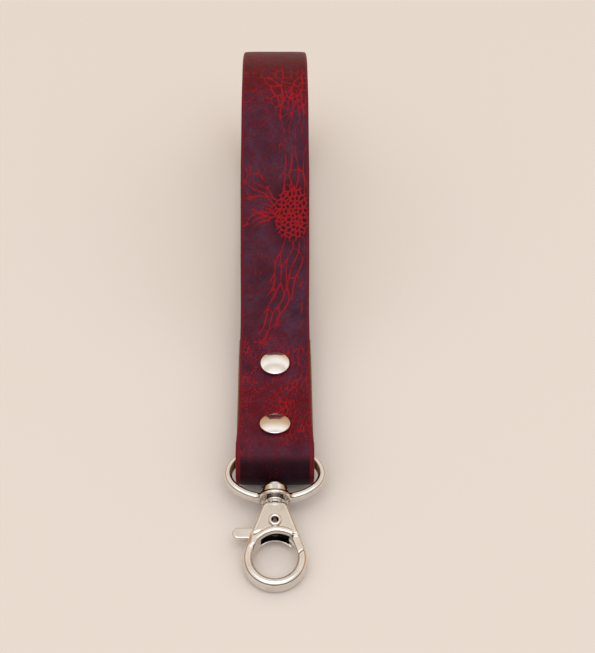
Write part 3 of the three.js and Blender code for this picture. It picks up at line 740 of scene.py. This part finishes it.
def castPiece(name, distance, low, high, cell, body, *nodes):
    points, faces = castSurface(distance, low, high, cell)
    placed = tilted(points * mm, claspDown, foldPlace)
    piece = makePiece(name, placed, faces.tolist(), metalLooks["castNickel"], body, "cast_nickel", *nodes)
    x, y, z = points.T
    # painted shade inside the clasp's slot, as a share on each point
    inSlot = between(y, -23.3, -15, 0.35) * (1 - smoothRise(np.abs(z), 1.22, 1.5))
    inSlot = inSlot * (1 - smoothRise(np.abs(x), 3.6, 4.6))
    addAttribute(piece, "paintedSlotShade", "FLOAT", inSlot * (body != "eye"))
    return piece


# Swivel eye
ring = {"halfWidth": 11.8, "barHalf": 7.3, "cornerRise": 5, "frontRise": 7,
        "halfWall": 0.95, "halfHeight": 1.5,
        "rounding": 0.82}
collar = {"rear": -9.0, "mouth": -12.3, "rearRadius": 3.45, "mouthRadius": 4.2, "floor": 1.4, "lip": 0.68,
          "studHole": 1.4, "headRoom": 2.6}


def ringLine():
    # the ring's middle line: a straight bar, two quarter ellipses at its corners and half an ellipse in front
    wide, bar = ring["halfWidth"], ring["barHalf"]
    corner = np.radians(np.linspace(90, 0, 40))
    front = np.radians(np.linspace(0, -180, 130))
    barX = np.linspace(-bar, bar, 40)
    right = np.stack([bar + (wide - bar) * np.cos(corner), -ring["cornerRise"] * (1 - np.sin(corner))], -1)
    low = np.stack([wide * np.cos(front), -ring["cornerRise"] + ring["frontRise"] * np.sin(front)], -1)
    left = (right * [-1, 1])[::-1]
    return np.concatenate([np.stack([barX, 0 * barX], -1)[:-1], right[:-1], low[:-1], left[:-1]])


ringPoints = ringLine()


def lineDistance(x, y, line):
    # distance to a closed line of short straight pieces
    start, end = line, np.roll(line, -1, 0)
    run = end - start
    length = (run ** 2).sum(1)
    best = np.full(x.shape, 1e9)
    for (startX, startY), (runX, runY), square in zip(start, run, length):
        share = np.clip(((x - startX) * runX + (y - startY) * runY) / square, 0, 1)
        np.minimum(best, (x - startX - share * runX) ** 2 + (y - startY - share * runY) ** 2, out=best)
    return np.sqrt(best)


def eyeDistance(p):
    x, y, z = p.T
    keys, back = np.unique(np.round(p[:, :2], 5), axis=0, return_inverse=True)
    fromLine = lineDistance(keys[:, 0], keys[:, 1], ringPoints)[back.ravel()]
    band = thick(fromLine - ring["halfWall"], z, ring["halfHeight"], ring["rounding"])
    radial = np.hypot(x, z)
    flare = smoothRise(y, collar["mouth"] + 1.5, collar["mouth"] + 0.6)
    outside = collar["rearRadius"] + (collar["mouthRadius"] - collar["rearRadius"]) * flare
    cup = thick((radial - outside) * 0.96, y - (collar["rear"] + collar["mouth"]) / 2,
                (collar["rear"] - collar["mouth"]) / 2, 0.42)
    whole = roundedJoin(band, cup, 0.9)
    depth = (collar["rear"] - collar["floor"] + collar["mouth"] - 2) / 2
    hollow = thick((radial - (outside - collar["lip"])) * 0.96, y - depth,
                   collar["rear"] - collar["floor"] - depth, 0.25)
    whole = roundedCut(whole, hollow, 0.18)
    bore = thick(radial - collar["studHole"], y - collar["rear"], 4, 0.05)
    whole = roundedCut(whole, bore, 0.12)
    headRoom = thick(radial - collar["headRoom"], y - (collar["rear"] + 1.1), 1.1, 0.2)
    return roundedCut(whole, headRoom, 0.2)


castPiece("swivel_eye", eyeDistance, (-13.1, -13.5, -4.3), (13.1, 1.3, 4.3), 0.15, "eye", "eye_ring")

# Clasp body and lever
clasp = {
    "neckFace": -10.7, "flangeStart": -12.2, "flangeEnd": -13.2, "bodyTop": -13.6, "bodyEnd": -22.1,
    "pivot": -19.2, "hook": -29.1, "hookRadius": 7.75, "hookBar": 2.35, "taper": math.radians(19.02),
    "bodyHalf": 2.5, "hookHalf": 2.2, "neckRadius": 2.1, "flangeRadius": 2.6, "slotHalf": 1.3,
    "leverHub": 2.6, "gap": 0.3, "tabBelow": 2.8, "tabWidth": 3.1, "tabReach": 10.5, "leverHalf": 1.0,
    "gateWidth": 2.1, "gateHalf": 1.5, "gateReach": 10.4, "rivetHole": 1.35,
}


def taperedOutline(x, y, radius, inset=0.0):
    # two circles of different size joined by their shared tangents; the small one is past the clasp's top
    lift = 18.0
    small = radius - lift * math.sin(clasp["taper"]) - inset
    big = radius - inset
    slopeSine = (big - small) / lift
    slopeCosine = math.sqrt(1 - slopeSine ** 2)
    px, py = np.abs(x), y - clasp["hook"]
    along = -px * slopeSine + py * slopeCosine
    tangent = px * slopeCosine + py * slopeSine - big
    return np.where(along < 0, np.hypot(px, py) - big,
                    np.where(along > slopeCosine * lift, np.hypot(px, py - lift) - small, tangent))


def gateSpot(y):
    halfWidth = clasp["hookRadius"] / math.cos(clasp["taper"])
    halfWidth = halfWidth - (y - clasp["hook"]) * math.tan(clasp["taper"])
    return (halfWidth - clasp["gateWidth"] / 2 / math.cos(clasp["taper"]), y)


def lipLine():
    # the raised bar under the housing: it leaves the left arm, arches across and ends in a round tip
    x = np.linspace(-4.7, 4.0, 16)
    arch = -21.6 - np.where(x > 0.4, 0.07, 0.1) * (x - 0.4) ** 2
    return np.concatenate([[(-5.3, -25.4)], np.stack([x, arch], -1)])


lipPoints = lipLine()


def openLineDistance(x, y, line):
    best = np.full(x.shape, 1e9)
    for start, end in zip(line[:-1], line[1:]):
        np.minimum(best, barDistance(x, y, start, end, 0.0), out=best)
    return best


def claspDistance(p):
    x, y, z = p.T
    pivot = clasp["pivot"]
    outline = taperedOutline(x, y, clasp["hookRadius"])
    inner = taperedOutline(x, y, clasp["hookRadius"], clasp["hookBar"])
    upward = smoothRise(y, clasp["hook"] + 1, clasp["bodyEnd"])
    armFlat = np.maximum(np.maximum(outline, -inner), y - (clasp["bodyEnd"] - 0.6))
    arms = thick(armFlat, z, clasp["hookHalf"] + 0.45 * upward, 1.14)
    lip = thick(openLineDistance(x, y, lipPoints) - 0.82, z, clasp["bodyHalf"] + 0.2, 0.78)
    edge = np.where(z < 0, clasp["bodyEnd"] - 0.9 - 0.11 * x ** 2, clasp["bodyEnd"] + 0.1 - 0.05 * x ** 2)
    roof = -roundedJoin(-outline, -(y - clasp["bodyTop"]), 0.9)
    plate = -roundedJoin(-roof, y - edge, 0.7)
    plateHalf = 2.12 + 0.35 * np.clip((clasp["bodyTop"] - y) / 8.5, 0, 1)
    housing = thick(plate, z, plateHalf, 0.95)
    whole = roundedJoin(roundedJoin(arms, lip, 0.5), housing, 0.35)
    radial = np.hypot(x, z)
    neck = thick(radial - clasp["neckRadius"], y - (clasp["neckFace"] + clasp["bodyTop"] - 1) / 2,
                 (clasp["neckFace"] - clasp["bodyTop"] + 1) / 2, 0.25)
    flange = thick(radial - clasp["flangeRadius"], y - (clasp["flangeStart"] + clasp["flangeEnd"]) / 2,
                   (clasp["flangeStart"] - clasp["flangeEnd"]) / 2, 0.3)
    whole = roundedJoin(roundedJoin(whole, neck, 0.5), flange, 0.2)
    slotTop = pivot + clasp["leverHub"] + clasp["gap"]
    tabEnd = pivot - clasp["tabBelow"] - clasp["tabWidth"] / 2 - clasp["gap"]
    left = boxDistance(x, y, (-14, tabEnd), (0.5, slotTop), 0.2)
    right = boxDistance(x, y, (0, clasp["bodyEnd"] - 1.2), (14, pivot), 0.2)
    middle = boxDistance(x, y, (-3.5, clasp["bodyEnd"] - 5), (6, pivot), 0.5)
    hub = np.hypot(x, y - pivot) - clasp["leverHub"] - clasp["gap"]
    slotFlat = np.minimum(np.minimum(left, right), np.minimum(hub, middle))
    whole = roundedCut(whole, thick(slotFlat, z, clasp["slotHalf"], 0.08), 0.16)
    gap = -roundedJoin(-(np.hypot(x, y - pivot) - clasp["gateReach"] - clasp["gap"]),
                       -np.maximum(4.15 - x, y - clasp["bodyEnd"] + 0.9), 0.1)
    whole = roundedCut(whole, gap, 0.25)
    return roundedCut(whole, np.hypot(x, y - pivot) - clasp["rivetHole"], 0.2)


castPiece("clasp_frame", claspDistance, (-8.1, -37.2, -3.1), (8.1, -10.3, 3.1), 0.135, "clasp", "clasp_body")


def leverDistance(p):
    x, y, z = p.T
    pivot = clasp["pivot"]
    hub = np.hypot(x, y - pivot) - clasp["leverHub"]
    tabY = pivot - clasp["tabBelow"]
    tabHalf = clasp["tabWidth"] / 2
    tab = barDistance(x, y, (0, tabY), (-clasp["tabReach"] + tabHalf, tabY), tabHalf)
    gateTop = gateSpot(clasp["bodyEnd"] - clasp["gateWidth"] / 2 - clasp["gap"])
    gateEnd = gateSpot(pivot - clasp["gateReach"])
    arm = barDistance(x, y, (0, pivot), gateTop, clasp["gateWidth"] / 2)
    strip = np.maximum(np.maximum(np.abs(x) - 3.4, y - clasp["bodyEnd"] - 0.9), clasp["hook"] - y)
    plateFlat = np.maximum(roundedJoin(np.minimum(hub, arm), tab, 0.6), -strip)
    plate = thick(plateFlat, z, clasp["leverHalf"], 0.45)
    gateFlat = barDistance(x, y, gateTop, gateEnd, clasp["gateWidth"] / 2)
    gateFlat = -roundedJoin(-gateFlat, -(np.hypot(x, y - pivot) - clasp["gateReach"]), 0.3)
    gate = thick(gateFlat, z, clasp["gateHalf"], 0.6)
    whole = roundedJoin(plate, gate, 0.4)
    whole = roundedCut(whole, np.hypot(x, y - pivot) - clasp["rivetHole"], 0.15)
    pocket = thick(np.hypot(x, y - pivot) - 2.2, z + 1.55, 2.0, 0.05)
    return roundedCut(whole, pocket, 0.1)


castPiece("thumb_lever", leverDistance, (-10.9, -30.0, -1.9), (7.9, -16.2, 1.9), 0.12, "lever", "lever")


# Stud that the clasp turns on, and the tubular rivet of its lever
stud = {"shank": 1.1, "head": 2.3, "headHeight": 1.2, "seat": -8.7, "end": -15.8}


def studProfile():
    # from the end in the body, up the shank, round the head and over its dome; heights run along the swivel
    edge = 0.3
    domeAngle = np.radians(np.linspace(0, 90, 18))
    domeX = (stud["head"] - 0.05) * np.cos(domeAngle)
    domeY = stud["seat"] + 0.45 + (stud["headHeight"] - 0.45) * np.sin(domeAngle)
    rows = [[0, stud["end"]], [stud["shank"] - edge, stud["end"]], [stud["shank"], stud["end"] + edge],
            [stud["shank"], stud["seat"]], [stud["head"] - edge, stud["seat"]],
            [stud["head"], stud["seat"] + 0.2]]
    return np.concatenate([rows, np.stack([domeX, domeY], -1)])


studPoints, studFaces = turned(studProfile())
studPoints = studPoints[:, [1, 2, 0]] * mm      # the turned axis becomes +Y
makePiece("swivel_stud_turned", tilted(studPoints, claspDown, foldPlace), studFaces, metalLooks["castNickel"],
          "clasp", "cast_nickel", "swivel_stud")

eyelet = {"bore": 0.8, "tube": 1.2, "flange": 1.65, "face": 2.62, "top": 3.0}


def eyeletProfile():
    # a tube whose two ends roll outwards and back down onto the faces
    roll = (eyelet["flange"] - eyelet["bore"]) / 2
    middle = eyelet["bore"] + roll
    angle = np.radians(np.linspace(200, -40, 20))
    upper = np.stack([middle + roll * np.cos(angle), eyelet["top"] - roll + roll * np.sin(angle)], -1)
    upper[:, 1] = np.maximum(upper[:, 1], eyelet["face"] - 0.12)
    outer = np.array([[eyelet["tube"], eyelet["face"] - 0.14], [eyelet["tube"], 0.4]])
    half = np.concatenate([[[eyelet["bore"], 0.4]], upper, outer])
    return np.concatenate([half, (half * [1, -1])[::-1]])


eyeletPoints, eyeletFaces = turnedTube(eyeletProfile() * mm, 72)
eyeletPoints = eyeletPoints + [0, clasp["pivot"] * mm, 0]
makePiece("lever_eyelet", tilted(eyeletPoints, claspDown, foldPlace), eyeletFaces, metalLooks["castNickel"],
          "clasp", "inner_steel", "pivot_rivet")
print("clasp made")


# floor and light
floorMesh = bpy.data.meshes.new("floor")
reach = 3.0
floorMesh.from_pydata([(-reach, -reach, 0), (reach, -reach, 0), (reach, reach, 0), (-reach, reach, 0)], [],
                      [(0, 1, 2, 3)])
floor = bpy.data.objects.new("floor", floorMesh)
bpy.context.scene.collection.objects.link(floor)
floorLook, _, _ = newMaterial("paleFloor", {"Base Color": (0.77, 0.715, 0.675, 1), "Roughness": 0.7,
                                            "Specular IOR Level": 0.2})
floorMesh.materials.append(floorLook)

lights = {
    # name: place, aimed at, size, power, colour
    "overheadSoftbox": ((0, -0.7, 1.7), (0, 0, 0), (1.6, 1.6), 9, (1.0, 0.98, 0.96)),
}
for lightName, (place, target, size, power, colour) in lights.items():
    lamp = bpy.data.lights.new(lightName, "AREA")
    lamp.shape = "RECTANGLE"
    lamp.size, lamp.size_y = size
    lamp.energy = power
    lamp.color = colour
    lampObject = bpy.data.objects.new(lightName, lamp)
    lampObject.location = place
    aim = np.subtract(target, place)
    lampObject.rotation_euler = (math.atan2(math.hypot(aim[0], aim[1]), -aim[2]), 0,
                                 math.atan2(aim[1], aim[0]) - math.pi / 2)
    bpy.context.scene.collection.objects.link(lampObject)

world = bpy.data.worlds.new("studio")
bpy.context.scene.world = world
world.use_nodes = True
worldTree = world.node_tree
direction = addNode(worldTree, "ShaderNodeTexCoord").outputs["Generated"]
split = addNode(worldTree, "ShaderNodeSeparateXYZ")
worldTree.links.new(direction, split.inputs[0])
# a tan backdrop low behind, a white ceiling, and a dark room low in front
height = maths(worldTree, "MAXIMUM", split.outputs[2], 0.0)
behind = ramp(worldTree, height, [
    (0.0, (0.50, 0.24, 0.10)), (0.3, (0.58, 0.36, 0.20)), (0.5, (0.64, 0.45, 0.30)),
    (0.68, (0.88, 0.80, 0.72)), (0.77, (1.0, 0.98, 0.96)), (0.83, (0.98, 0.95, 0.92)),
    (0.875, (0.78, 0.69, 0.60)), (0.93, (0.82, 0.74, 0.66)), (0.97, (1.0, 0.98, 0.96)),
])
inFront = ramp(worldTree, height, [
    (0.0, (0.015, 0.01, 0.01)), (0.26, (0.03, 0.02, 0.02)), (0.42, (0.75, 0.73, 0.70)),
    (0.6, (1.0, 0.98, 0.96)), (1.0, (1.0, 0.98, 0.96)),
])
facing = fade(worldTree, split.outputs[1], -0.55, 0.25)
sky = blendColour(worldTree, facing, inFront, behind)
background = worldTree.nodes["Background"]
background.inputs["Strength"].default_value = 1.05
worldTree.links.new(sky, background.inputs["Color"])
bpy.context.scene.view_settings.view_transform = "Standard"
print("studio made")
